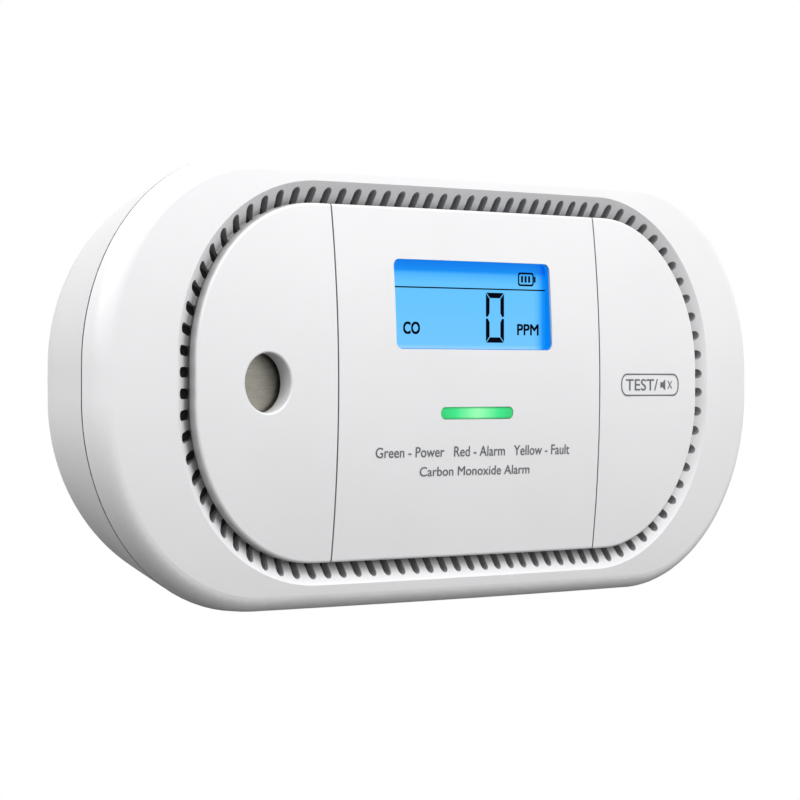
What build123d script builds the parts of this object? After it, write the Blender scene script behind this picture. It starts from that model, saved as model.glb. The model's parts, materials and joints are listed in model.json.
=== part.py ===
"""Wall-hung carbon monoxide alarm, built as separate pieces in one frame.

Frame: origin on the wall at the centre of the bracket's back face, +X to the right as the
alarm is read, +Z up, the front faces -Y. Millimetres throughout.
"""
import math
import os

from build123d import *

os.makedirs("parts", exist_ok=True)

# ---- the outside ---------------------------------------------------------------------
DEPTH = 33.0                 # wall to the top of the dome
APEX_Y = -DEPTH
DOME_RX = 620.9              # dome curvature seen from above
DOME_RZ = 228.7              # dome curvature seen from the side
RIM = (75.0, 34.2, 31.7)     # half width, half height, corner radius of the widest outline
SEAM_Y = -24.3               # where the two covers meet
SEAM_GAP = 0.3
RIM_FILLET = 2.6
WALL = 2.0

# ---- the channel round the raised panels ---------------------------------------------
CHANNEL = (61.4, 30.6, 28.0)
CHANNEL_Y = -30.93           # the dome at the middle of the channel's top edge
CHANNEL_SLOPE = 0.57         # depth gained per millimetre inwards
CHANNEL_DEPTH = 2.3
FLOOR_T = 1.0
FLOOR_BACK = CHANNEL_DEPTH + FLOOR_T
SLOT_TRACK = (58.65, 27.75, 25.2)
SLOT_SIZE = (3.9, 1.55)
SLOTS_PER_QUARTER = 24

# ---- the three raised panels ----------------------------------------------------------
PANEL = (58.0, 27.18, 24.35)
PANEL_T = 1.5
PANEL_ROUND = 0.4
PANEL_SPLIT = 30.47
PANEL_GAP = 0.3
HOLE_X = -44.34
HOLE_R = 4.48
LCD_WINDOW = (36.4, 13.9, 1.2)
LCD_Z = 12.2
BAR = (16.9, 1.95)
BAR_Z = -4.72
BUTTON_X = 44.5
BUTTON_Z = -0.3
LEFT_POSTS = [(-35.5, 14.0), (-35.5, -14.0), (-53.6, 9.4), (-53.6, -9.4)]
FASCIA_POSTS = [(26.0, 9.0), (-26.0, 9.0), (-26.0, -10.0), (26.0, -10.0)]
BUTTON_POSTS = [(35.5, 13.0), (35.5, -13.0), (53.6, 0.0)]

# ---- rear cover and bracket -----------------------------------------------------------
BACK_Y = -3.2                # outside of the rear cover's back
BOWL_ANGLE = 20.0
BOWL_R = 17.0
HOOK_X = 34.0
HOOK_Z = 4.0
LIFT = 8.0

# ---- inside ----------------------------------------------------------------------------
BOARD_FRONT = -19.6
BOARD_T = 1.6
BOARD_BACK = BOARD_FRONT + BOARD_T
BOARD = (50.0, 22.0)
HOUSING_SCREWS = [(46.0, 18.0), (-46.0, 18.0), (-46.0, -18.0), (46.0, -18.0)]
BOARD_SCREWS = [(27.0, 18.5), (-27.0, 18.5), (-27.0, -18.5), (27.0, -18.5)]
BOSS_JOIN_Y = -16.6          # front and rear screw bosses meet here
SCREW_SEAT_Y = -14.6
BATTERY = (17.0, 34.5)
BATTERY_Y = -14.6
BATTERY_Z = 13.2
SENSOR_PINS = [(-4.5, -8.0), (4.5, -8.0), (0.0, -13.0)]


def at(y):
    """Sketch plane at the given y, seen from the front; a positive extrude comes forward."""
    return Plane.XZ.offset(-y)


def save(piece, label):
    piece.part.label = label
    export_step(piece.part, f"parts/{label}.step")
    print(label, "solids", len(piece.part.solids()), "volume", round(piece.part.volume, 1))


def rounded(half_w, half_h, radius, inset=0.0):
    """Rounded rectangle from half sizes, shrunk evenly by inset."""
    return RectangleRounded(
        2 * (half_w - inset), 2 * (half_h - inset), radius - inset
    )


def dome(depth):
    """Solid behind the domed front, its face set back evenly by depth."""
    rx = DOME_RX - depth
    rz = DOME_RZ - depth
    half = 80.0
    drop = rx - math.sqrt(rx * rx - half * half)
    turn = math.radians(12)
    axis_y = APEX_Y + DOME_RZ
    top = Plane(
        origin=(0, axis_y, 0),
        x_dir=(1, 0, 0),
        z_dir=(0, -math.sin(turn), -math.cos(turn)),
    )
    with BuildPart() as body:
        with BuildSketch(top):
            with BuildLine():
                ThreePointArc((-half, rz - drop), (0, rz), (half, rz - drop))
                Polyline((half, rz - drop), (half, rz - 45), (-half, rz - 45), (-half, rz - drop))
            make_face()
        revolve(axis=Axis((0, axis_y, 0), (1, 0, 0)), revolution_arc=24)
    return body.part


def layer(front, back):
    """Domed sheet between two depths below the front surface."""
    with BuildPart() as sheet:
        add(dome(front))
        add(dome(back), mode=Mode.SUBTRACT)
    return sheet.part


def dome_y(x, z, depth=0.0):
    """y of the domed surface, set back by depth, at one point of the front view."""
    rx = DOME_RX - depth
    rz = DOME_RZ - depth
    reach = rz - rx + math.sqrt(rx * rx - x * x)
    return APEX_Y + DOME_RZ - math.sqrt(reach * reach - z * z)


def quarter_track(half_w, half_h, radius, count):
    """Evenly spaced stations on a quarter of a rounded outline, with their outward angle."""
    run_x = half_w - radius
    run_z = half_h - radius
    total = run_x + math.pi / 2 * radius + run_z
    stations = []
    for i in range(count):
        s = (i + 0.5) * total / count
        if s < run_x:
            stations.append((s, half_h, 90.0))
        elif s < run_x + math.pi / 2 * radius:
            angle = math.pi / 2 - (s - run_x) / radius
            x = run_x + radius * math.cos(angle)
            z = run_z + radius * math.sin(angle)
            stations.append((x, z, math.degrees(angle)))
        else:
            stations.append((half_w, total - s, 0.0))
    return stations


def channel_arcs(inset):
    """Arcs of the channel's outline, bowed so that its sloping wall leaves the dome along CHANNEL."""
    half_w, half_h, radius = CHANNEL
    corner = radius * (1 - math.sqrt(0.5))
    stations = [
        (0, half_h, 0, 1),
        (half_w - radius, half_h, 0, 1),
        (half_w - corner, half_h - corner, math.sqrt(0.5), math.sqrt(0.5)),
        (half_w, half_h - radius, 1, 0),
        (half_w, 0, 1, 0),
    ]
    points = []
    for x, z, out_x, out_z in stations:
        move = (dome_y(x, z, 0) - CHANNEL_Y) / CHANNEL_SLOPE - inset
        points.append((x + out_x * move, z + out_z * move))
    top, top_end, middle, side_end, side = points
    arcs = []
    for sx, sz in ((1, 1), (-1, 1), (-1, -1), (1, -1)):
        arcs.append([(sx * x, sz * z) for x, z in (top_end, middle, side_end)])
    for sign in (1, -1):
        long_way = [(-top_end[0], top_end[1]), top, top_end]
        short_way = [(side_end[0], -side_end[1]), side, side_end]
        arcs.append([(x, sign * z) for x, z in long_way])
        arcs.append([(sign * x, z) for x, z in short_way])
    return arcs


def front_cover():
    with BuildPart() as cavity:
        with BuildSketch(at(SEAM_Y)):
            rounded(*RIM, inset=WALL)
        extrude(amount=14)
        add(dome(FLOOR_BACK), mode=Mode.INTERSECT)

    # everything in front of the channel floor, inside the sloping channel wall
    deep = 4.2
    with BuildPart() as channel:
        for y, inset in ((CHANNEL_Y + deep, deep / CHANNEL_SLOPE), (CHANNEL_Y, 0)):
            with BuildSketch(at(y)):
                with BuildLine():
                    for start, middle, end in channel_arcs(inset):
                        ThreePointArc(start, middle, end)
                make_face()
        loft(ruled=True)
        with BuildSketch(at(CHANNEL_Y)):
            with BuildLine():
                for start, middle, end in channel_arcs(0):
                    ThreePointArc(start, middle, end)
            make_face()
        extrude(amount=6)
        add(dome(CHANNEL_DEPTH), mode=Mode.SUBTRACT)

    with BuildPart() as bosses:
        with BuildSketch(at(BOSS_JOIN_Y)):
            with Locations(*HOUSING_SCREWS):
                Circle(3.0)
        extrude(amount=14)
        with BuildSketch(at(BOARD_FRONT)):
            with Locations(*BOARD_SCREWS):
                Circle(3.0)
        extrude(amount=12)
        add(dome(FLOOR_BACK - 0.4), mode=Mode.INTERSECT)

    with BuildPart() as cover:
        with BuildSketch(at(SEAM_Y - SEAM_GAP / 2)):
            rounded(*RIM)
        extrude(amount=12)
        add(dome(0), mode=Mode.INTERSECT)
        fillet(cover.faces().sort_by(Axis.Y)[0].edges(), RIM_FILLET)
        add(cavity.part, mode=Mode.SUBTRACT)
        add(channel.part, mode=Mode.SUBTRACT)

        # vent slots cut through the channel wall and under the panel edge
        with BuildSketch(at(SEAM_Y)):
            for x, z, angle in quarter_track(*SLOT_TRACK, SLOTS_PER_QUARTER):
                for sx, sz in ((1, 1), (-1, 1), (-1, -1), (1, -1)):
                    lean = angle if sx * sz > 0 else -angle
                    with Locations((sx * x, sz * z)):
                        SlotOverall(*SLOT_SIZE, rotation=lean)
        extrude(amount=12, mode=Mode.SUBTRACT)

        # openings in the floor for the display, light bar, sounder and button stem
        with BuildSketch(at(SEAM_Y)):
            with Locations((0, LCD_Z)):
                RectangleRounded(41.6, 18.8, 1.0)
            with Locations((0, BAR_Z)):
                SlotOverall(17.8, 2.8)
            with Locations((HOLE_X, 0)):
                Circle(10.9)
            with Locations((BUTTON_X, BUTTON_Z)):
                Circle(2.6)
            with Locations(*BUTTON_POSTS):
                Circle(1.9)
            with Locations(*LEFT_POSTS, *FASCIA_POSTS):
                Circle(1.55)
        extrude(amount=12, mode=Mode.SUBTRACT)

        add(bosses.part)
        with BuildSketch(at(BOSS_JOIN_Y)):
            with Locations(*HOUSING_SCREWS):
                Circle(1.45)
        extrude(amount=10, mode=Mode.SUBTRACT)
        with BuildSketch(at(BOARD_FRONT)):
            with Locations(*BOARD_SCREWS):
                Circle(1.25)
        extrude(amount=7.5, mode=Mode.SUBTRACT)
    save(cover, "front_cover")


def panel_blank(x_from, x_to):
    """One length of the raised panel, edges softened, before its details are added."""
    with BuildPart() as blank:
        with BuildSketch(at(SEAM_Y)):
            rounded(*PANEL)
        extrude(amount=14)
        add(layer(0, PANEL_T), mode=Mode.INTERSECT)
        fillet(blank.faces().sort_by(Axis.Y)[0].edges(), PANEL_ROUND)
        with BuildSketch(at(SEAM_Y)):
            with Locations(((x_from + x_to) / 2, 0)):
                Rectangle(x_to - x_from, 80)
        extrude(amount=14, mode=Mode.INTERSECT)
    return blank.part


def panel_feet(places, radius):
    """Round pads that fill the space between a panel and the channel floor."""
    with BuildPart() as feet:
        with BuildSketch(at(SEAM_Y)):
            with Locations(*places):
                Circle(radius)
        extrude(amount=14)
        add(layer(PANEL_T - 0.3, CHANNEL_DEPTH), mode=Mode.INTERSECT)
    return feet.part


def pegs(places, radius, end_y):
    """Pegs from under a panel back to end_y."""
    with BuildPart() as body:
        with BuildSketch(at(end_y)):
            with Locations(*places):
                Circle(radius)
        extrude(amount=16)
        add(dome(PANEL_T - 0.3), mode=Mode.INTERSECT)
    return body.part


def left_panel():
    with BuildPart() as collar:
        with BuildSketch(at(-29.25)):
            with Locations((HOLE_X, 0)):
                Circle(HOLE_R + 1.2)
        extrude(amount=6)
        add(dome(PANEL_T - 0.3), mode=Mode.INTERSECT)

    with BuildPart() as panel:
        add(panel_blank(-70, -PANEL_SPLIT - PANEL_GAP / 2))
        add(panel_feet(LEFT_POSTS, 2.6))
        add(pegs(LEFT_POSTS, 1.5, -25.5))
        add(collar.part)
        with BuildSketch(at(SEAM_Y)):
            with Locations((HOLE_X, 0)):
                Circle(HOLE_R)
        extrude(amount=14, mode=Mode.SUBTRACT)
        rim = panel.edges().filter_by(lambda e: abs(e.length - 2 * math.pi * HOLE_R) < 0.6)
        fillet(rim.sort_by(Axis.Y)[0:1], 0.3)
    save(panel, "left_panel")


def display_fascia():
    half = PANEL_SPLIT - PANEL_GAP / 2
    with BuildPart() as panel:
        add(panel_blank(-half, half))
        add(panel_feet(FASCIA_POSTS, 2.6))
        add(pegs(FASCIA_POSTS, 1.5, -26.0))
        # flat pocket behind the window so the display glass sits close to the front
        with BuildSketch(at(SEAM_Y)):
            with Locations((0, LCD_Z)):
                Rectangle(41.2, 18.4)
        extrude(amount=6.9, mode=Mode.SUBTRACT)
        with BuildSketch(at(SEAM_Y)):
            with Locations((0, LCD_Z)):
                RectangleRounded(*LCD_WINDOW)
        extrude(amount=14, mode=Mode.SUBTRACT)
        with BuildSketch(at(SEAM_Y)):
            with Locations((0, BAR_Z)):
                SlotOverall(*BAR)
        extrude(amount=14, mode=Mode.SUBTRACT)
    # the plug left standing in the bar opening is dropped
    with BuildPart() as fascia:
        add(panel.part.solids().sort_by(SortBy.VOLUME)[-1])
    save(fascia, "display_fascia")


def test_button():
    # guide pegs end in heads that stop the button against the back of the floor
    with BuildPart() as guides:
        for x, z in BUTTON_POSTS:
            seat = dome_y(abs(x) + 2.4, abs(z) + 2.4, FLOOR_BACK) + 0.05
            with BuildSketch(at(seat + 1.2)):
                with Locations((x, z)):
                    Circle(2.4)
            extrude(amount=1.2)
            with BuildSketch(at(seat + 1.2)):
                with Locations((x, z)):
                    Circle(1.5)
            extrude(amount=1.2 + FLOOR_BACK - PANEL_T / 2)

    with BuildPart() as panel:
        add(panel_blank(PANEL_SPLIT + PANEL_GAP / 2, 70))
        add(guides.part)
        add(pegs([(BUTTON_X, BUTTON_Z)], 2.0, -24.33))
    save(panel, "test_button")


def bowl(inset):
    """Tapered, round-backed dish behind the seam; inset gives the inner surface."""
    run = BACK_Y - SEAM_Y
    shrink = run * math.tan(math.radians(BOWL_ANGLE))
    slant = inset / math.cos(math.radians(BOWL_ANGLE))
    grow = inset * math.tan(math.radians(BOWL_ANGLE))
    with BuildPart() as dish:
        with BuildSketch(at(SEAM_Y)):
            rounded(*RIM, inset=slant)
        with BuildSketch(at(BACK_Y - inset)):
            rounded(*RIM, inset=slant + shrink - grow)
        loft(ruled=True)
        back = dish.faces().sort_by(Axis.Y)[-1]
        fillet(back.edges(), BOWL_R - inset)
    return dish.part


def rear_cover():
    with BuildSketch() as lip_hole:
        rounded(*RIM, inset=WALL + 1.35)
    with BuildPart() as lip:
        with BuildSketch(at(SEAM_Y + 2.2)):
            rounded(*RIM, inset=WALL + 0.15)
            add(lip_hole.sketch, mode=Mode.SUBTRACT)
        extrude(amount=2.9)

    with BuildPart() as pillars:
        with BuildSketch(at(BOSS_JOIN_Y)):
            with Locations(*HOUSING_SCREWS):
                Circle(4.7)
        extrude(amount=-16)
        add(bowl(0.5), mode=Mode.INTERSECT)

    # ribs that cradle the cell
    with BuildPart() as ribs:
        with BuildSketch(at(-14.2)):
            with Locations((-11.5, BATTERY_Z), (11.5, BATTERY_Z)):
                Rectangle(1.4, 21.0)
        extrude(amount=-11)
        add(bowl(0.5), mode=Mode.INTERSECT)

    with BuildPart() as cover:
        add(bowl(0))
        add(bowl(WALL), mode=Mode.SUBTRACT)
        with BuildSketch(at(SEAM_Y)):
            rounded(*RIM, inset=-2)
        extrude(amount=-SEAM_GAP / 2, mode=Mode.SUBTRACT)
        add(pillars.part)
        add(ribs.part)
        with BuildSketch(Plane.YZ.offset(-20)):
            with Locations((BATTERY_Y, BATTERY_Z)):
                Circle(BATTERY[0] / 2 + 0.15)
        extrude(amount=40, mode=Mode.SUBTRACT)

        # screw clearance holes and the deep wells that reach them
        with BuildSketch(at(BOSS_JOIN_Y)):
            with Locations(*HOUSING_SCREWS):
                Circle(1.7)
        extrude(amount=-16, mode=Mode.SUBTRACT)
        with BuildSketch(at(SCREW_SEAT_Y)):
            with Locations(*HOUSING_SCREWS):
                Circle(3.3)
        extrude(amount=-16, mode=Mode.SUBTRACT)

        # keyed openings the bracket hooks pass through, narrow above and wide below
        with BuildSketch(at(BACK_Y - WALL - 1)):
            for x in (-HOOK_X, HOOK_X):
                with Locations((x, HOOK_Z - 1.75)):
                    Rectangle(3.8, 7.7)
                with Locations((x, HOOK_Z - LIFT)):
                    Rectangle(9.0, 4.8)
        extrude(amount=-5, mode=Mode.SUBTRACT)
        add(lip.part)
    save(cover, "rear_cover")


def wall_bracket():
    with BuildPart() as bracket:
        with BuildSketch(at(0)):
            RectangleRounded(92, 36, 9)
        extrude(amount=2.2)
        chamfer(bracket.faces().sort_by(Axis.Y)[0].edges(), 0.5)
        with BuildSketch(at(-2.0)):
            with Locations((-20, 0), (20, 0)):
                RectangleRounded(16, 22, 3)
        extrude(amount=1.1)
        # hooks: a stem through the cover's back and a wide head inside it
        with BuildSketch(at(-2.0)):
            for x in (-HOOK_X, HOOK_X):
                with Locations((x, HOOK_Z)):
                    Rectangle(3.0, 4.0)
        extrude(amount=5.0)
        with BuildSketch(at(BACK_Y - WALL - 0.2)):
            for x in (-HOOK_X, HOOK_X):
                with Locations((x, HOOK_Z)):
                    RectangleRounded(8.0, 4.0, 0.8)
        extrude(amount=1.8)
        # two screw holes with countersinks
        with BuildSketch(at(1)):
            with Locations((-20, 0), (20, 0)):
                Circle(2.2)
        extrude(amount=6, mode=Mode.SUBTRACT)
        with BuildSketch(at(-1.2)):
            with Locations((-20, 0), (20, 0)):
                Circle(4.2)
        extrude(amount=3, mode=Mode.SUBTRACT)
    save(bracket, "wall_bracket")


def pan_head_screws(places, seat_y, length, head_r, shank_r, label):
    """Pan-head screws driven forward from the back, each with a crossed recess."""
    with BuildPart() as group:
        with BuildSketch(at(seat_y)):
            with Locations(*places):
                Circle(head_r)
        extrude(amount=-2.0)
        with BuildSketch(at(seat_y)):
            with Locations(*places):
                Circle(shank_r)
        extrude(amount=length)
        with BuildSketch(at(seat_y + 1.0)):
            with Locations(*places):
                Rectangle(head_r * 1.2, 0.7)
                Rectangle(0.7, head_r * 1.2)
        extrude(amount=-1.2, mode=Mode.SUBTRACT)
    save(group, label)


def screws():
    pan_head_screws(HOUSING_SCREWS, SCREW_SEAT_Y, 10.0, 2.8, 1.4, "housing_screws")
    pan_head_screws(BOARD_SCREWS, BOARD_BACK, 7.0, 2.4, 1.2, "board_screws")


def display_parts():
    front = -31.15
    with BuildPart() as glass:
        with BuildSketch(at(front + 2.2)):
            with Locations((0, LCD_Z)):
                Rectangle(40.4, 17.6)
        extrude(amount=2.2)
    save(glass, "lcd_glass")

    with BuildPart() as guide:
        with BuildSketch(at(front + 4.9)):
            with Locations((0, LCD_Z)):
                RectangleRounded(38.0, 15.6, 0.8)
        extrude(amount=2.68)
    save(guide, "lcd_backlight")

    with BuildPart() as frame:
        with BuildSketch(at(-24.4)):
            with Locations((0, LCD_Z)):
                RectangleRounded(43.6, 20.4, 1.2)
                RectangleRounded(42.2, 16.0, 0.9, mode=Mode.SUBTRACT)
        extrude(amount=3.6)
        with BuildSketch(at(-24.4)):
            with Locations((0, LCD_Z)):
                RectangleRounded(43.6, 20.4, 1.2)
                Rectangle(35.0, 12.6, mode=Mode.SUBTRACT)
        extrude(amount=1.2)
        with BuildSketch(at(BOARD_FRONT)):
            with Locations((-20.4, 3.4), (20.4, 3.4), (-20.4, 20.6), (20.4, 20.6)):
                Circle(1.3)
        extrude(amount=5)
        # slot along the lower edge for the contact pins
        with BuildSketch(at(-28.2)):
            with Locations((0, 3.1)):
                Rectangle(30.0, 2.8)
        extrude(amount=-5, mode=Mode.SUBTRACT)
    save(frame, "display_frame")

    with BuildPart() as pins:
        for i in range(18):
            with BuildSketch(at(BOARD_BACK + 0.6)):
                with Locations((-13.6 + 1.6 * i, 3.0)):
                    Rectangle(0.5, 0.5)
            extrude(amount=11.9)
    save(pins, "lcd_pins")

    with BuildPart() as leds:
        with BuildSketch(at(front + 4.6)):
            with Locations((-20.3, LCD_Z), (20.3, LCD_Z)):
                Rectangle(1.4, 3.4)
        extrude(amount=1.8)
    save(leds, "backlight_leds")


def light_bar():
    with BuildPart() as pipe:
        with BuildSketch(at(-21.4)):
            with Locations((0, BAR_Z)):
                SlotOverall(BAR[0] - 0.2, BAR[1] - 0.2)
        extrude(amount=14)
        with BuildSketch(at(-26.6)):
            with Locations((0, BAR_Z)):
                SlotOverall(20.6, 4.6)
        extrude(amount=1.2)
        add(dome(0.05), mode=Mode.INTERSECT)
    save(pipe, "status_light_pipe")

    with BuildPart() as leds:
        with BuildSketch(at(BOARD_FRONT)):
            with Locations((-5.5, BAR_Z), (0, BAR_Z), (5.5, BAR_Z)):
                Rectangle(3.2, 1.6)
        extrude(amount=1.4)
    save(leds, "status_leds")


def sounder():
    with BuildPart() as cup:
        with BuildSketch(at(BOARD_FRONT - 0.5)):
            with Locations((HOLE_X, 0)):
                Circle(10.5)
        extrude(amount=8.85)
        with BuildSketch(at(-27.9)):
            with Locations((HOLE_X, 0)):
                Circle(8.6)
        extrude(amount=2, mode=Mode.SUBTRACT)
        with BuildSketch(at(-28.35)):
            with Locations((HOLE_X, 0)):
                Circle(9.6)
        extrude(amount=2, mode=Mode.SUBTRACT)
        with BuildSketch(at(-27.9)):
            with Locations((HOLE_X, 0)):
                Circle(7.4)
        extrude(amount=-6.5, mode=Mode.SUBTRACT)
    save(cup, "sounder_cup")

    with BuildPart() as disc:
        with BuildSketch(at(-28.35)):
            with Locations((HOLE_X, 0)):
                Circle(9.5)
        extrude(amount=0.3)
        fillet(disc.faces().sort_by(Axis.Y)[0].edges(), 0.1)
    save(disc, "sounder_diaphragm")

    with BuildPart() as wafer:
        with BuildSketch(at(-28.12)):
            with Locations((HOLE_X, 0)):
                Circle(6.4)
        extrude(amount=0.22)
    save(wafer, "sounder_wafer")

    with BuildPart() as pins:
        with BuildSketch(at(BOARD_BACK + 0.8)):
            with Locations((HOLE_X - 5, 0), (HOLE_X + 5, 0)):
                Circle(0.4)
        extrude(amount=2.88)
    save(pins, "sounder_pins")


def board():
    with BuildPart() as pcb:
        with BuildSketch(at(BOARD_BACK)):
            RectangleRounded(2 * BOARD[0], 2 * BOARD[1], 3)
            with Locations(*HOUSING_SCREWS):
                Circle(5.6, mode=Mode.SUBTRACT)
            with Locations((0, 14.2)):
                Rectangle(42.0, 20.0, mode=Mode.SUBTRACT)
            with Locations(*[(1.04 * x, 1.15 * z) for x, z in HOUSING_SCREWS]):
                Rectangle(10, 8, mode=Mode.SUBTRACT)
            with Locations(*BOARD_SCREWS):
                Circle(1.5, mode=Mode.SUBTRACT)
            for i in range(18):
                with Locations((-13.6 + 1.6 * i, 3.0)):
                    Circle(0.45, mode=Mode.SUBTRACT)
            with Locations((HOLE_X - 5, 0), (HOLE_X + 5, 0)):
                Circle(0.5, mode=Mode.SUBTRACT)
            with Locations(*SENSOR_PINS):
                Circle(0.6, mode=Mode.SUBTRACT)
        extrude(amount=BOARD_T)
    save(pcb, "main_board")


def board_parts():
    with BuildPart() as body:
        with BuildSketch(at(BOARD_FRONT)):
            with Locations((BUTTON_X, BUTTON_Z)):
                Rectangle(6.0, 6.0)
        extrude(amount=3.4)
        with BuildSketch(at(BOARD_FRONT - 1.4)):
            with Locations((BUTTON_X, BUTTON_Z)):
                Circle(2.0)
        extrude(amount=4, mode=Mode.SUBTRACT)
    save(body, "tact_switch_body")

    with BuildPart() as plunger:
        with BuildSketch(at(BOARD_FRONT - 2.2)):
            with Locations((BUTTON_X, BUTTON_Z)):
                Circle(1.7)
        extrude(amount=2.5)
    save(plunger, "tact_switch_plunger")

    with BuildPart() as mcu:
        with BuildSketch(at(BOARD_FRONT - 0.15)):
            with Locations((12.0, -14.5)):
                RectangleRounded(9.0, 9.0, 0.3)
        extrude(amount=1.3)
    save(mcu, "microcontroller")

    with BuildPart() as legs:
        with BuildSketch(at(BOARD_FRONT)):
            for i in range(8):
                step = -3.15 + 0.9 * i
                with Locations((12.0 + step, -9.45), (12.0 + step, -19.55)):
                    Rectangle(0.4, 1.1)
                with Locations((6.95, -14.5 + step), (17.05, -14.5 + step)):
                    Rectangle(1.1, 0.4)
        extrude(amount=0.6)
    save(legs, "microcontroller_legs")

    with BuildPart() as caps:
        with BuildSketch(at(BOARD_FRONT)):
            with Locations((24.5, -4.0), (-20.0, -14.0)):
                Circle(3.15)
        extrude(amount=7.0)
        fillet(caps.faces().filter_by(Axis.Y).sort_by(Axis.Y)[:2].edges(), 0.5)
    save(caps, "electrolytic_capacitors")

    with BuildPart() as coil:
        with BuildSketch(at(BOARD_FRONT)):
            with Locations((-29.5, -8.0)):
                Circle(3.8)
        extrude(amount=1.0)
        with BuildSketch(at(BOARD_FRONT - 1.0)):
            with Locations((-29.5, -8.0)):
                Circle(3.1)
        extrude(amount=4.2)
        with BuildSketch(at(BOARD_FRONT - 5.2)):
            with Locations((-29.5, -8.0)):
                Circle(3.8)
        extrude(amount=1.0)
    save(coil, "sounder_coil")

    with BuildPart() as chips:
        with BuildSketch(at(BOARD_FRONT)):
            for i in range(7):
                with Locations((-12.0 + 2.6 * i, -1.0)):
                    Rectangle(2.0, 1.2)
            with Locations((30, 5), (30, 9), (34, -6), (34, -9), (-10, -10), (-28, 6), (-28, 9)):
                Rectangle(2.0, 1.25)
        extrude(amount=0.7)
    save(chips, "chip_components")

    with BuildPart() as crystal:
        with BuildSketch(at(BOARD_FRONT)):
            with Locations((-10.0, -19.0)):
                SlotOverall(10.0, 3.6)
        extrude(amount=3.2)
    save(crystal, "timing_crystal")

    with BuildPart() as header:
        with BuildSketch(at(BOARD_FRONT)):
            with Locations((36.5, 8.5)):
                Rectangle(2.5, 10.0)
        extrude(amount=2.5)
        with BuildSketch(at(BOARD_FRONT - 2.5)):
            for i in range(4):
                with Locations((36.5, 4.7 + 2.54 * i)):
                    Rectangle(0.64, 0.64)
        extrude(amount=3.0)
    save(header, "service_header")


def gas_sensor():
    with BuildPart() as can:
        with BuildSketch(at(BOARD_BACK + 0.6)):
            with Locations((0, -8.0)):
                Circle(7.9)
        extrude(amount=-8.6)
        fillet(can.faces().sort_by(Axis.Y)[-1].edges(), 0.6)
    save(can, "gas_sensor_can")

    with BuildPart() as cap:
        with BuildSketch(at(BOARD_BACK + 9.2)):
            with Locations((0, -8.0)):
                Circle(6.0)
        extrude(amount=-1.6)
        fillet(cap.faces().sort_by(Axis.Y)[-1].edges(), 0.4)
        with BuildSketch(at(BOARD_BACK + 9.0)):
            with Locations((0, -8.0)):
                Circle(1.0)
        extrude(amount=-3, mode=Mode.SUBTRACT)
    save(cap, "gas_sensor_cap")

    with BuildPart() as pins:
        with BuildSketch(at(BOARD_FRONT - 0.6)):
            with Locations(*SENSOR_PINS):
                Circle(0.5)
        extrude(amount=-2.8)
    save(pins, "gas_sensor_pins")


def battery():
    radius = BATTERY[0] / 2
    length = BATTERY[1]
    with BuildPart() as cell:
        with BuildSketch(Plane.YZ.offset(-length / 2)):
            with Locations((BATTERY_Y, BATTERY_Z)):
                Circle(radius)
        extrude(amount=length - 0.8)
        fillet(cell.faces().filter_by(Axis.X).edges(), 0.6)
        with BuildSketch(Plane.YZ.offset(length / 2 - 0.8)):
            with Locations((BATTERY_Y, BATTERY_Z)):
                Circle(3.2)
        extrude(amount=0.8)
    save(cell, "battery_cell")

    with BuildPart() as tabs:
        for side in (-1, 1):
            with BuildSketch(Plane.YZ.offset(side * (length / 2 + 0.02))):
                with Locations((BATTERY_Y, 8.2)):
                    Rectangle(5.0, 15.0)
            extrude(amount=side * 0.3)
            with BuildSketch(at(BOARD_BACK)):
                with Locations((side * (length / 2 + 0.17), 1.9)):
                    Rectangle(0.3, 2.4)
            extrude(amount=-4.0)
    save(tabs, "battery_tabs")


def dust_screen():
    with BuildPart() as screen:
        with BuildSketch(at(SEAM_Y)):
            RectangleRounded(2 * 62.6, 2 * 31.2, 28.7)
            RectangleRounded(2 * 56.6, 2 * 25.8, 23.0, mode=Mode.SUBTRACT)
        extrude(amount=10)
        add(layer(FLOOR_BACK + 0.03, FLOOR_BACK + 0.35), mode=Mode.INTERSECT)
    save(screen, "dust_screen")


def bracket_pads():
    with BuildPart() as pads:
        with BuildSketch(at(-2.2)):
            with Locations((-41, 12), (41, 12), (-41, -12), (41, -12)):
                Circle(2.5)
        extrude(amount=0.8)
    save(pads, "bracket_pads")


def main():
    front_cover()
    left_panel()
    display_fascia()
    test_button()
    rear_cover()
    wall_bracket()
    screws()
    display_parts()
    light_bar()
    sounder()
    board()
    board_parts()
    gas_sensor()
    battery()
    dust_screen()
    bracket_pads()


main()
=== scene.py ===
"""Looks for the wall-hung carbon monoxide alarm: materials, printed marks, display and lights."""
import json
import math

import bmesh
import bpy
from mathutils import Matrix, Vector
from mathutils.bvhtree import BVHTree


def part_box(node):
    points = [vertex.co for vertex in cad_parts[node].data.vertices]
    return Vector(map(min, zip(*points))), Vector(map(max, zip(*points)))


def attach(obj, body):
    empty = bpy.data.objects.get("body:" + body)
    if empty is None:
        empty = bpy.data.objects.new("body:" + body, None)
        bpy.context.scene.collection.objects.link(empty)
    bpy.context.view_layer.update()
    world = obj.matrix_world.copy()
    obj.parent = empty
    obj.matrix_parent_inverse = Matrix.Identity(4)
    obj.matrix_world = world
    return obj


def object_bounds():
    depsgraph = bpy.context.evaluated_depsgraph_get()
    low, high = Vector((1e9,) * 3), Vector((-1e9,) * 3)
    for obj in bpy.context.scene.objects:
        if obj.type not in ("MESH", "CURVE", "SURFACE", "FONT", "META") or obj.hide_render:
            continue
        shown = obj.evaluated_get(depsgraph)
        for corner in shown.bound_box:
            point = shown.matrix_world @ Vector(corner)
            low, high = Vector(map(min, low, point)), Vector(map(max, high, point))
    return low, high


MM = 0.001
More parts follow.
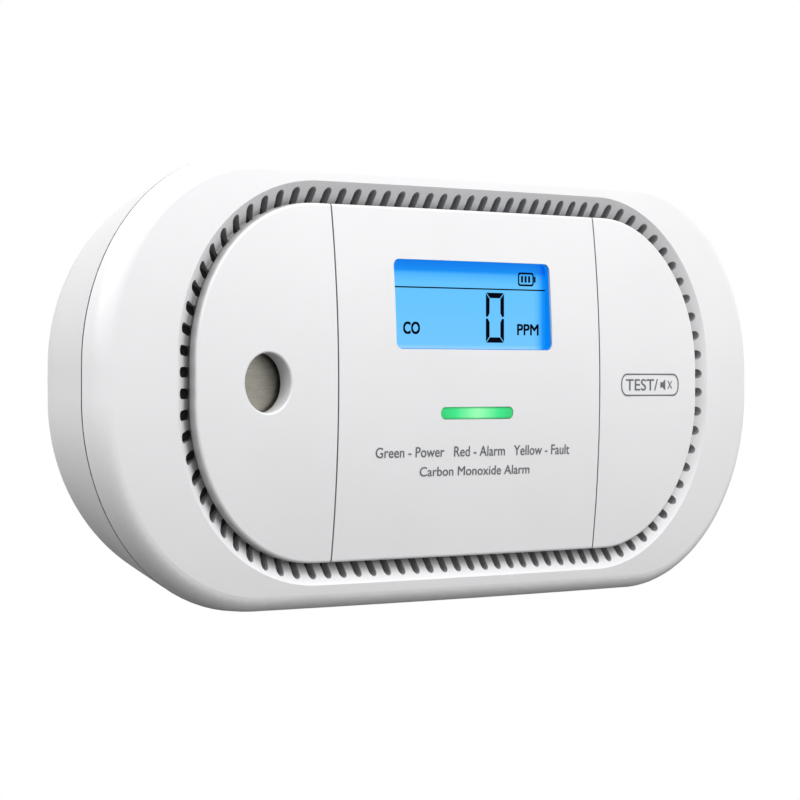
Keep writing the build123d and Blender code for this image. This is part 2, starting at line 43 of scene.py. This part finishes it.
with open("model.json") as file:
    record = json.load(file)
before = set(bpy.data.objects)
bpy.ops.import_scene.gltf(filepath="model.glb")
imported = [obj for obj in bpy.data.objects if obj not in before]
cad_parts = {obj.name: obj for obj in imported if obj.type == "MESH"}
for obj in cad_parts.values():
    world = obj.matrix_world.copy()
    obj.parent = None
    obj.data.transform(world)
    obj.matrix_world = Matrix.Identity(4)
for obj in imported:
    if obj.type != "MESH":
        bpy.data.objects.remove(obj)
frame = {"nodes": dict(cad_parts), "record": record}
cad_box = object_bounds()
nodes = frame["nodes"]

# the display window in the front panel, in millimetres
WINDOW_W, WINDOW_H, WINDOW_R = 36.4, 13.9, 1.2
WINDOW_Z = 12.2
BAR_Z = -4.72


# ---------------------------------------------------------------- material helpers
class Shade:
    """Small helper that wires a node material."""

    def __init__(self, name):
        self.mat = bpy.data.materials.new(name)
        self.mat.use_nodes = True
        self.tree = self.mat.node_tree
        self.bsdf = self.tree.nodes["Principled BSDF"]

    def node(self, kind, **values):
        made = self.tree.nodes.new(kind)
        for key, value in values.items():
            if key in made.inputs:
                made.inputs[key].default_value = value
            else:
                setattr(made, key, value)
        return made

    def link(self, a, b):
        self.tree.links.new(a, b)

    def set(self, **values):
        for key, value in values.items():
            self.bsdf.inputs[key.replace("_", " ")].default_value = value
        return self

    def coords(self):
        return self.node("ShaderNodeTexCoord").outputs["Object"]

    def noise(self, scale, detail=2.0, rough=0.5):
        made = self.node("ShaderNodeTexNoise")
        made.inputs["Scale"].default_value = scale
        made.inputs["Detail"].default_value = detail
        made.inputs["Roughness"].default_value = rough
        self.link(self.coords(), made.inputs["Vector"])
        return made.outputs["Fac"]

    def part_of(self, source, low, high):
        """How far a value lies between two bounds, from 0 to 1."""
        made = self.node("ShaderNodeMapRange")
        made.inputs["From Min"].default_value = low
        made.inputs["From Max"].default_value = high
        self.link(source, made.inputs["Value"])
        return made.outputs["Result"]

    def multiply(self, first, second):
        made = self.node("ShaderNodeMix", data_type="RGBA", blend_type="MULTIPLY")
        made.inputs["Factor"].default_value = 1.0
        self.link(first, made.inputs["A"])
        self.link(second, made.inputs["B"])
        return made.outputs["Result"]

    def position(self):
        split = self.node("ShaderNodeSeparateXYZ")
        self.link(self.coords(), split.inputs["Vector"])
        return split.outputs

    def ramp(self, source, stops):
        made = self.node("ShaderNodeValToRGB")
        ramp = made.color_ramp
        while len(ramp.elements) < len(stops):
            ramp.elements.new(0.5)
        for element, (place, colour) in zip(ramp.elements, stops):
            element.position = place
            element.color = (*colour, 1.0)
        self.link(source, made.inputs["Fac"])
        return made.outputs["Color"]

    def bump(self, source, strength, distance):
        made = self.node("ShaderNodeBump")
        made.inputs["Strength"].default_value = strength
        made.inputs["Distance"].default_value = distance
        self.link(source, made.inputs["Height"])
        self.link(made.outputs["Normal"], self.bsdf.inputs["Normal"])

    def vary(self, socket, source, low, high):
        made = self.node("ShaderNodeMapRange")
        made.inputs["To Min"].default_value = low
        made.inputs["To Max"].default_value = high
        self.link(source, made.inputs["Value"])
        self.link(made.outputs["Result"], self.bsdf.inputs[socket])


def tint(colour, factor):
    return tuple(min(1.0, c * factor) for c in colour)


CREASE_REACH = 3.2 * MM


def plastic(name, colour, rough, grain=9000.0, grain_depth=0.000004, spread=0.015, painted_crease_shade=0.0):
    """Moulded plastic: fine spark-eroded grain, slight tone drift, roughness that wanders.

    The last argument sets painted shade: how far grooves and slots less than about 3 mm wide are
    darkened in colour by ambient occlusion.
    """
    s = Shade(name)
    tone = s.ramp(
        s.noise(45.0, 3.0),
        [(0.3, tint(colour, 1 - spread)), (0.7, tint(colour, 1 + spread))],
    )
    # painted shade: ambient occlusion darkens the colour in creases, slots and the channel round
    # the panels
    if painted_crease_shade:
        crease = s.node("ShaderNodeAmbientOcclusion", samples=6)
        crease.inputs["Distance"].default_value = CREASE_REACH
        painted_shade = s.ramp(
            crease.outputs["AO"],
            [
                (0.12, (1 - painted_crease_shade,) * 3),
                (0.45, (1 - 0.80 * painted_crease_shade,) * 3),
                (0.70, (1 - 0.42 * painted_crease_shade,) * 3),
                (0.93, (1, 1, 1)),
            ],
        )
        tone = s.multiply(tone, painted_shade)
    s.link(tone, s.bsdf.inputs["Base Color"])
    s.vary("Roughness", s.noise(220.0, 3.0), rough - 0.04, rough + 0.04)
    s.bump(s.noise(grain, 2.0), 0.25, grain_depth)
    s.set(IOR=1.49)
    return s.mat


def metal(name, colour, rough, streak=(1.0, 1.0, 1.0), scale=900.0):
    """Metal with fine directional streaks in tone and roughness."""
    s = Shade(name)
    mapping = s.node("ShaderNodeMapping")
    mapping.inputs["Scale"].default_value = streak
    s.link(s.coords(), mapping.inputs["Vector"])
    noise = s.node("ShaderNodeTexNoise")
    noise.inputs["Scale"].default_value = scale
    noise.inputs["Detail"].default_value = 4.0
    s.link(mapping.outputs["Vector"], noise.inputs["Vector"])
    s.link(
        s.ramp(noise.outputs["Fac"], [(0.3, tint(colour, 0.86)), (0.7, tint(colour, 1.1))]),
        s.bsdf.inputs["Base Color"],
    )
    s.vary("Roughness", noise.outputs["Fac"], rough - 0.08, rough + 0.1)
    s.bump(noise.outputs["Fac"], 0.15, 0.000006)
    s.set(Metallic=1.0)
    return s.mat


WHITE = (0.83, 0.83, 0.842)
MATERIALS = {
    "housing_white": plastic("housing_white", WHITE, 0.42, painted_crease_shade=0.6),
    "rear_white": plastic("rear_white", (0.80, 0.80, 0.812), 0.46, painted_crease_shade=0.6),
    "bracket_white": plastic("bracket_white", (0.76, 0.76, 0.76), 0.55),
    "black_foam": plastic("black_foam", (0.03, 0.03, 0.032), 0.9, 2500.0, 0.00006, 0.2),
    "dark_mesh": plastic("dark_mesh", (0.045, 0.045, 0.047), 0.75, 3000.0, 0.00003, 0.2),
    "zinc_steel": metal("zinc_steel", (0.60, 0.60, 0.62), 0.32),
    "clear_acrylic": plastic("clear_acrylic", (0.70, 0.80, 0.86), 0.2),
    "black_moulding": plastic(
        "black_moulding", (0.025, 0.025, 0.027), 0.5, 6000.0, 0.000008, 0.15
    ),
    "tinned_metal": metal("tinned_metal", (0.70, 0.70, 0.68), 0.28),
    "led_body": plastic("led_body", (0.82, 0.82, 0.70), 0.3),
    "bronze_disc": metal("bronze_disc", (0.35, 0.335, 0.295), 0.42, (1, 1, 6), 500.0),
    "pale_ceramic": plastic("pale_ceramic", (0.75, 0.73, 0.68), 0.7),
    "board_green": plastic("board_green", (0.015, 0.13, 0.055), 0.35, 1500.0, 0.00001, 0.12),
    "switch_red": plastic("switch_red", (0.45, 0.05, 0.03), 0.5),
    "chip_black": plastic("chip_black", (0.02, 0.02, 0.022), 0.45, 5000.0, 0.00001, 0.15),
    "capacitor_can": metal("capacitor_can", (0.72, 0.73, 0.75), 0.3, (1, 8, 1)),
    "copper_coil": metal("copper_coil", (0.55, 0.22, 0.09), 0.3, (1, 30, 1)),
    "chip_ceramic": plastic("chip_ceramic", (0.32, 0.25, 0.18), 0.6),
    "sensor_steel": metal("sensor_steel", (0.62, 0.62, 0.61), 0.3, (1, 12, 1)),
    "cell_wrap": plastic("cell_wrap", (0.05, 0.10, 0.32), 0.28, 400.0, 0.00002, 0.06),
}


def display_material():
    """Backlit display: pale blue, with painted shadow deepening into the top and right-hand edges
    of the window and a painted highlight along the bottom edge.
    """
    s = Shade("lcd_blue")
    place = s.position()
    # painted highlight along the bottom edge and painted shadow along the top of the window
    rise = s.ramp(
        s.part_of(place["Z"], 5.2 * MM, 19.2 * MM),
        [
            (0.0, (0.36, 0.68, 0.94)),
            (0.035, (0.25, 0.62, 0.98)),
            (0.06, (0.165, 0.57, 1.0)),
            (0.45, (0.145, 0.56, 1.0)),
            (0.74, (0.13, 0.55, 1.0)),
            (0.80, (0.10, 0.50, 0.985)),
            (0.848, (0.065, 0.44, 0.975)),
            (0.885, (0.0, 0.265, 0.89)),
            (0.93, (0.0, 0.225, 0.86)),
            (1.0, (0.0, 0.20, 0.82)),
        ],
    )
    # painted shadow towards the right-hand wall of the window
    side = s.ramp(
        s.part_of(place["X"], -18.4 * MM, 19.6 * MM),
        [
            (0.0, (1, 1, 1)),
            (0.885, (1, 1, 1)),
            (0.915, (0.70, 0.86, 0.97)),
            (0.930, (0.35, 0.72, 0.97)),
            (0.945, (0.05, 0.50, 0.93)),
            (1.0, (0.0, 0.42, 0.90)),
        ],
    )
    s.link(s.multiply(rise, side), s.bsdf.inputs["Emission Color"])
    s.set(Emission_Strength=0.97, Roughness=0.3, IOR=1.45)
    s.bsdf.inputs["Base Color"].default_value = (0.003, 0.02, 0.05, 1)
    s.bsdf.inputs["Specular IOR Level"].default_value = 0.06
    s.bump(s.noise(5000.0), 0.1, 0.000002)
    return s.mat


def bar_material():
    """Lit green light pipe, palest over its middle."""
    s = Shade("green_light")
    place = s.position()
    glow = s.ramp(
        s.part_of(place["X"], -8.5 * MM, 8.5 * MM),
        [
            (0.0, (0.0, 0.40, 0.10)),
            (0.2, (0.005, 0.52, 0.15)),
            (0.5, (0.20, 0.68, 0.30)),
            (0.8, (0.005, 0.52, 0.15)),
            (1.0, (0.0, 0.40, 0.10)),
        ],
    )
    off_centre = s.node("ShaderNodeMath", operation="ADD")
    off_centre.inputs[1].default_value = -BAR_Z * MM
    s.link(place["Z"], off_centre.inputs[0])
    spread = s.node("ShaderNodeMath", operation="ABSOLUTE")
    s.link(off_centre.outputs["Value"], spread.inputs[0])
    rim = s.ramp(
        s.part_of(spread.outputs["Value"], 0.55 * MM, 0.95 * MM),
        [(0.0, (1, 1, 1)), (1.0, (0.35, 0.55, 0.5))],
    )
    lit = s.multiply(glow, rim)
    s.link(lit, s.bsdf.inputs["Emission Color"])
    s.link(lit, s.bsdf.inputs["Base Color"])
    s.set(Emission_Strength=0.58, Roughness=0.3, IOR=1.49)
    s.bump(s.noise(3000.0), 0.15, 0.000004)
    return s.mat


MATERIALS["lcd_blue"] = display_material()
MATERIALS["green_light"] = bar_material()

for part in frame["record"]["subparts"]:
    shown = nodes[part["node"]]
    shown.data.materials.clear()
    shown.data.materials.append(MATERIALS[part["material_slot"]])


# ---------------------------------------------------------------- smooth shading
def soften(obj):
    """Smooth shading; the CAD faces don't share vertices, so real edges stay sharp."""
    for poly in obj.data.polygons:
        poly.use_smooth = True
    even = obj.modifiers.new("even_shading", "WEIGHTED_NORMAL")
    even.mode = "FACE_AREA"
    even.keep_sharp = True


# ---------------------------------------------------------------- printed marks
class Skin:
    """Finds a node's front surface under a point of the front view."""

    def __init__(self, node):
        mesh = nodes[node].data
        self.tree = BVHTree.FromPolygons(
            [v.co for v in mesh.vertices], [p.vertices for p in mesh.polygons]
        )

    def y(self, x, z):
        hit = self.tree.ray_cast(Vector((x, -0.2, z)), Vector((0, 1, 0)))
        return hit[0].y if hit[0] else None


INK_LIFT = 0.035 * MM
INK_T = 0.02 * MM


def ink_material(name, colour, rough=0.5, shine=0.5):
    s = Shade(name)
    s.bsdf.inputs["Specular IOR Level"].default_value = shine
    s.link(
        s.ramp(s.noise(2600.0, 3.0), [(0.35, tint(colour, 0.9)), (0.65, tint(colour, 1.12))]),
        s.bsdf.inputs["Base Color"],
    )
    s.set(Roughness=rough)
    return s.mat


GREY_INK = ink_material("grey_ink", (0.12, 0.125, 0.135))
LCD_INK = ink_material("lcd_ink", (0.002, 0.003, 0.006), 0.6, 0.0)


def add_piece(name, bm, material, body):
    """Turns a mesh being edited into an object that rides on a body."""
    mesh = bpy.data.meshes.new(name)
    bm.to_mesh(mesh)
    bm.free()
    mesh.materials.append(material)
    obj = bpy.data.objects.new(name, mesh)
    bpy.context.scene.collection.objects.link(obj)
    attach(obj, body)


def print_mesh(name, loops, surface_y, material, body):
    """Thin solid marks from outlines in millimetres, laid on the surface."""
    bm = bmesh.new()
    for loop in loops:
        front, back = [], []
        for x, z in loop:
            y = surface_y(x * MM, z * MM)
            front.append(bm.verts.new((x * MM, y - INK_LIFT - INK_T, z * MM)))
            back.append(bm.verts.new((x * MM, y - INK_LIFT, z * MM)))
        bm.faces.new(front)
        bm.faces.new(list(reversed(back)))
        count = len(loop)
        for i in range(count):
            j = (i + 1) % count
            bm.faces.new((front[j], front[i], back[i], back[j]))
    bmesh.ops.recalc_face_normals(bm, faces=bm.faces)
    add_piece(name, bm, material, body)


def lettering(name, text, centre, width, height, surface_y, material, body, bold=0.0):
    """Lettering of a stated width and height in millimetres, laid on the surface.

    Bold lettering is the same outline repeated a hair to each side.
    """
    curve = bpy.data.curves.new(name + "_text", "FONT")
    curve.body = text
    curve.align_x = "CENTER"
    curve.align_y = "CENTER"
    curve.extrude = 0.01
    curve.resolution_u = 5
    holder = bpy.data.objects.new(name + "_text", curve)
    bpy.context.scene.collection.objects.link(holder)
    bpy.context.view_layer.update()
    depsgraph = bpy.context.evaluated_depsgraph_get()
    mesh = bpy.data.meshes.new_from_object(holder.evaluated_get(depsgraph))
    bpy.data.objects.remove(holder)
    xs = [v.co.x for v in mesh.vertices]
    ys = [v.co.y for v in mesh.vertices]
    mid_x, mid_y = (min(xs) + max(xs)) / 2, (min(ys) + max(ys)) / 2
    kx = (width - 2 * bold) / (max(xs) - min(xs))
    kz = (height - 2 * bold) / (max(ys) - min(ys))
    bm = bmesh.new()
    shifts = [(0, 0)]
    if bold:
        shifts += [(bold, bold), (-bold, bold), (-bold, -bold), (bold, -bold)]
    for layer, (dx, dz) in enumerate(shifts):
        made = []
        for v in mesh.vertices:
            x = (centre[0] + dx + (v.co.x - mid_x) * kx) * MM
            z = (centre[1] + dz + (v.co.y - mid_y) * kz) * MM
            lift = INK_LIFT + (INK_T + 0.001 * MM * layer if v.co.z > 0 else 0.0)
            made.append(bm.verts.new((x, surface_y(x, z) - lift, z)))
        for poly in mesh.polygons:
            bm.faces.new([made[i] for i in poly.vertices])
    add_piece(name, bm, material, body)


def ring_loops(outer, inner):
    """Strip between two outlines of equal count, as quads."""
    count = len(outer)
    return [
        (outer[i], outer[(i + 1) % count], inner[(i + 1) % count], inner[i]) for i in range(count)
    ]


def rounded_outline(cx, cz, half_w, half_h, radius, steps=8):
    """Rectangle with rounded corners, anticlockwise from the right-hand end of its top corner."""
    points = []
    for sx, sz, start in ((1, 1, 0), (-1, 1, 90), (-1, -1, 180), (1, -1, 270)):
        for i in range(steps + 1):
            a = math.radians(start + 90 * i / steps)
            points.append(
                (
                    cx + sx * (half_w - radius) + radius * math.cos(a),
                    cz + sz * (half_h - radius) + radius * math.sin(a),
                )
            )
    return points


fascia_y = Skin("display_fascia").y
button_y = Skin("test_button").y
lcd_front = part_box("lcd_glass")[0].y


def lcd_y(x, z):
    return lcd_front + 0.02 * MM


def lining_material():
    """Painted light: the display's blue glow laid on the window wall as emission, deepest at the
    display.
    """
    s = Shade("window_glow")
    glow = s.ramp(
        s.part_of(s.position()["Y"], cad_box[0].y, lcd_front),
        [(0.0, (0.008, 0.20, 0.70)), (0.5, (0.002, 0.225, 0.86)), (1.0, (0.0, 0.235, 0.90))],
    )
    s.link(glow, s.bsdf.inputs["Emission Color"])
    s.bsdf.inputs["Base Color"].default_value = (0.002, 0.05, 0.16, 1)
    s.bsdf.inputs["Specular IOR Level"].default_value = 0.1
    s.set(Emission_Strength=0.85, Roughness=0.4)
    s.bump(s.noise(4000.0), 0.1, 0.000003)
    return s.mat


LINING_GAP = 0.03
LINING_T = 0.08


def window_lining():
    """Thin closed sleeve that follows the display window's wall, set just clear of it, carrying
    the painted glow of the display on that wall.
    """
    loops = [
        rounded_outline(
            0.0, WINDOW_Z, WINDOW_W / 2 - inset, WINDOW_H / 2 - inset, WINDOW_R - inset, 6
        )
        for inset in (LINING_GAP, LINING_GAP + LINING_T)
    ]
    bm = bmesh.new()
    rings = []
    for loop, front in ((loops[0], True), (loops[1], True), (loops[1], False), (loops[0], False)):
        ring = []
        for x, z in loop:
            # the panel's surface is read just outside the opening
            out_x = x + (0.5 if x > 0 else -0.5)
            out_z = z + (0.5 if z > WINDOW_Z else -0.5)
            y = fascia_y(out_x * MM, out_z * MM) + 0.25 * MM if front else lcd_front - 0.02 * MM
            ring.append(bm.verts.new((x * MM, y, z * MM)))
        rings.append(ring)
    count = len(loops[0])
    for k in range(4):
        first, second = rings[k], rings[(k + 1) % 4]
        for i in range(count):
            j = (i + 1) % count
            bm.faces.new((first[i], first[j], second[j], second[i]))
    bmesh.ops.recalc_face_normals(bm, faces=bm.faces)
    add_piece("window_lining", bm, lining_material(), "alarm")


window_lining()

# legend under the light bar
lettering(
    "legend_lights", "Green - Power   Red - Alarm   Yellow - Fault", (0.1, -10.7), 45.2, 1.6,
    fascia_y, GREY_INK, "alarm",
)
lettering(
    "legend_kind", "Carbon Monoxide Alarm", (0.0, -13.75), 25.6, 1.45,
    fascia_y, GREY_INK, "alarm",
)

# test and mute mark on the end panel
BUTTON_MARK = (44.5, -0.3)
pill_out = rounded_outline(*BUTTON_MARK, 8.2, 1.86, 1.6)
pill_in = rounded_outline(*BUTTON_MARK, 7.98, 1.64, 1.38)
print_mesh("test_pill", ring_loops(pill_out, pill_in), button_y, GREY_INK, "test_button")
lettering(
    "test_word", "TEST/", (BUTTON_MARK[0] - 2.4, BUTTON_MARK[1]), 9.0, 1.9,
    button_y, GREY_INK, "test_button",
)
HORN_X = BUTTON_MARK[0] + 3.5
HORN_Z = BUTTON_MARK[1]
horn = [
    [
        (HORN_X - 0.6, HORN_Z - 0.42),
        (HORN_X, HORN_Z - 0.42),
        (HORN_X, HORN_Z + 0.42),
        (HORN_X - 0.6, HORN_Z + 0.42),
    ],
    [
        (HORN_X + 0.12, HORN_Z - 0.45),
        (HORN_X + 0.75, HORN_Z - 0.9),
        (HORN_X + 0.75, HORN_Z + 0.9),
        (HORN_X + 0.12, HORN_Z + 0.45),
    ],
]
cross_x = HORN_X + 2.1
for sign in (1, -1):
    horn.append(
        [
            (cross_x - 0.62, HORN_Z - 0.55 * sign - 0.09 * sign),
            (cross_x - 0.48, HORN_Z - 0.64 * sign - 0.05 * sign),
            (cross_x + 0.62, HORN_Z + 0.55 * sign),
            (cross_x + 0.48, HORN_Z + 0.64 * sign),
        ]
    )
print_mesh("mute_mark", horn, button_y, GREY_INK, "test_button")


# ---------------------------------------------------------------- display segments
def digit_zero(x0, z0, x1, z1, w):
    """Six bars of a seven-segment nought with mitred ends."""
    mid = (z0 + z1) / 2
    gap = 0.12
    bars = [
        [(x0 + gap, z1), (x1 - gap, z1), (x1 - gap - w, z1 - w), (x0 + gap + w, z1 - w)],
        [(x0 + gap, z0), (x0 + gap + w, z0 + w), (x1 - gap - w, z0 + w), (x1 - gap, z0)],
    ]
    for xa, inner in ((x0, 1), (x1, -1)):
        bars.append(
            [
                (xa, mid + gap + w * 0.1),
                (xa, z1 - gap),
                (xa + inner * w, z1 - gap - w),
                (xa + inner * w, mid + gap + w * 0.7),
                (xa + inner * w * 0.5, mid + gap),
            ]
        )
        bars.append(
            [
                (xa, mid - gap - w * 0.1),
                (xa, z0 + gap),
                (xa + inner * w, z0 + gap + w),
                (xa + inner * w, mid - gap - w * 0.7),
                (xa + inner * w * 0.5, mid - gap),
            ]
        )
    return bars


print_mesh("lcd_digit", digit_zero(3.86, 6.4, 8.15, 14.33, 0.85), lcd_y, LCD_INK, "alarm")
print_mesh(
    "lcd_divider", [[(-18.6, 14.76), (18.2, 14.81), (18.2, 15.02), (-18.6, 14.97)]],
    lcd_y, LCD_INK, "alarm",
)
lettering("lcd_co", "CO", (-13.3, 8.55), 3.8, 1.95, lcd_y, LCD_INK, "alarm", 0.07)
lettering("lcd_ppm", "PPM", (13.9, 8.55), 5.2, 1.8, lcd_y, LCD_INK, "alarm", 0.06)
cell_out = rounded_outline(13.4, 16.62, 1.9, 1.1, 0.5)
cell_in = rounded_outline(13.4, 16.62, 1.6, 0.8, 0.3)
battery_mark = ring_loops(cell_out, cell_in)
battery_mark.append([(15.35, 16.15), (15.75, 16.15), (15.75, 17.1), (15.35, 17.1)])
for k in range(3):
    left = 12.25 + 0.85 * k
    battery_mark.append([(left, 16.1), (left + 0.48, 16.1), (left + 0.48, 17.15), (left, 17.15)])
print_mesh("lcd_cell_mark", battery_mark, lcd_y, LCD_INK, "alarm")

# the lettering is mesh now, so its curves go
for curve in list(bpy.data.curves):
    bpy.data.curves.remove(curve)

for name in nodes:
    soften(nodes[name])


# ---------------------------------------------------------------- stage, light, camera
def floor_material():
    """Matt pale floor that the camera sees as plain white."""
    s = Shade("floor_pale")
    s.link(
        s.ramp(s.noise(3.0, 4.0), [(0.3, (0.15, 0.15, 0.15)), (0.7, (0.18, 0.18, 0.18))]),
        s.bsdf.inputs["Base Color"],
    )
    s.set(Roughness=0.9)
    path = s.node("ShaderNodeLightPath")
    glow = s.node("ShaderNodeEmission")
    glow.inputs["Color"].default_value = (1, 1, 1, 1)
    glow.inputs["Strength"].default_value = 1.0
    mix = s.node("ShaderNodeMixShader")
    s.link(path.outputs["Is Camera Ray"], mix.inputs["Fac"])
    s.link(s.bsdf.outputs["BSDF"], mix.inputs[1])
    s.link(glow.outputs["Emission"], mix.inputs[2])
    s.link(mix.outputs["Shader"], s.tree.nodes["Material Output"].inputs["Surface"])
    return s.mat


FLOOR_HALF = 3.0
FLOOR_Z = -0.45


def floor():
    bm = bmesh.new()
    bmesh.ops.create_grid(bm, x_segments=8, y_segments=8, size=FLOOR_HALF)
    mesh = bpy.data.meshes.new("floor")
    bm.to_mesh(mesh)
    bm.free()
    mesh.transform(Matrix.Translation((0, 0, FLOOR_Z)))
    mesh.materials.append(floor_material())
    made = bpy.data.objects.new("floor", mesh)
    bpy.context.scene.collection.objects.link(made)


floor()

WORLD_BASE = 0.02
WORLD_LOBES = [
    ((0, -1, 0), 0.92),
    ((-1, 0, 0), 0.50),
    ((1, 0, 0), 0.86),
    ((0, 1, 0), 0.60),
]


def studio_world():
    """Soft light with a lobe on each side of the object; the camera sees plain white."""
    world = bpy.data.worlds.new("studio")
    bpy.context.scene.world = world
    world.use_nodes = True
    tree = world.node_tree

    def math_node(operation, first, second):
        made = tree.nodes.new("ShaderNodeMath")
        made.operation = operation
        for socket, value in zip(made.inputs, (first, second)):
            if isinstance(value, float):
                socket.default_value = value
            else:
                tree.links.new(value, socket)
        return made.outputs["Value"]

    direction = tree.nodes.new("ShaderNodeTexCoord").outputs["Generated"]
    level = None
    for towards, weight in WORLD_LOBES:
        dot = tree.nodes.new("ShaderNodeVectorMath")
        dot.operation = "DOT_PRODUCT"
        dot.inputs[1].default_value = towards
        tree.links.new(direction, dot.inputs[0])
        lobe = math_node("MAXIMUM", dot.outputs["Value"], 0.0)
        lobe = math_node("MULTIPLY", lobe, weight)
        level = math_node("ADD", lobe, WORLD_BASE if level is None else level)
    choose = tree.nodes.new("ShaderNodeMix")
    choose.data_type = "FLOAT"
    ray = tree.nodes.new("ShaderNodeLightPath").outputs["Is Camera Ray"]
    tree.links.new(ray, choose.inputs["Factor"])
    tree.links.new(level, choose.inputs["A"])
    choose.inputs["B"].default_value = 1.0
    background = tree.nodes["Background"]
    background.inputs["Color"].default_value = (1, 1, 1, 1)
    tree.links.new(choose.outputs["Result"], background.inputs["Strength"])


studio_world()


def area(name, place, size, power):
    """Softbox that faces the object."""
    light = bpy.data.lights.new(name, "AREA")
    light.shape = "RECTANGLE"
    light.size, light.size_y = size
    light.energy = power
    lamp = bpy.data.objects.new(name, light)
    bpy.context.scene.collection.objects.link(lamp)
    lamp.location = place
    lamp.rotation_euler = (-Vector(place)).to_track_quat("-Z", "Y").to_euler()


KEY_POWER = 1.4
SIDE_POWER = 1.5
area("softbox_key", (0.06, -0.30, 0.36), (0.5, 0.25), KEY_POWER)
area("softbox_side", (-0.42, 0.0, 0.34), (0.3, 0.3), SIDE_POWER)

# the camera looks along a level line, 46.4 degrees round to the left of straight on
TURN = math.radians(46.43)
AIM_Y = cad_box[0].y / MM + 4.32
DISTANCE = 550.4
SIDESTEP = -9.15
LENS = 156.57
SENSOR = 36.0
SHIFT_DOWN = -0.02125
forward = Vector((math.sin(TURN), math.cos(TURN), 0))
right = Vector((math.cos(TURN), -math.sin(TURN), 0))
camera = bpy.data.objects.new("camera", bpy.data.cameras.new("camera"))
bpy.context.scene.collection.objects.link(camera)
camera.location = (Vector((0, AIM_Y, 0)) - forward * DISTANCE + right * SIDESTEP) * MM
camera.rotation_euler = (math.radians(90), 0, -TURN)
camera.data.sensor_width = SENSOR
camera.data.lens = LENS
camera.data.shift_y = SHIFT_DOWN
camera.data.clip_start = 0.01
bpy.context.scene.camera = camera
bpy.context.scene.view_settings.view_transform = "Standard"
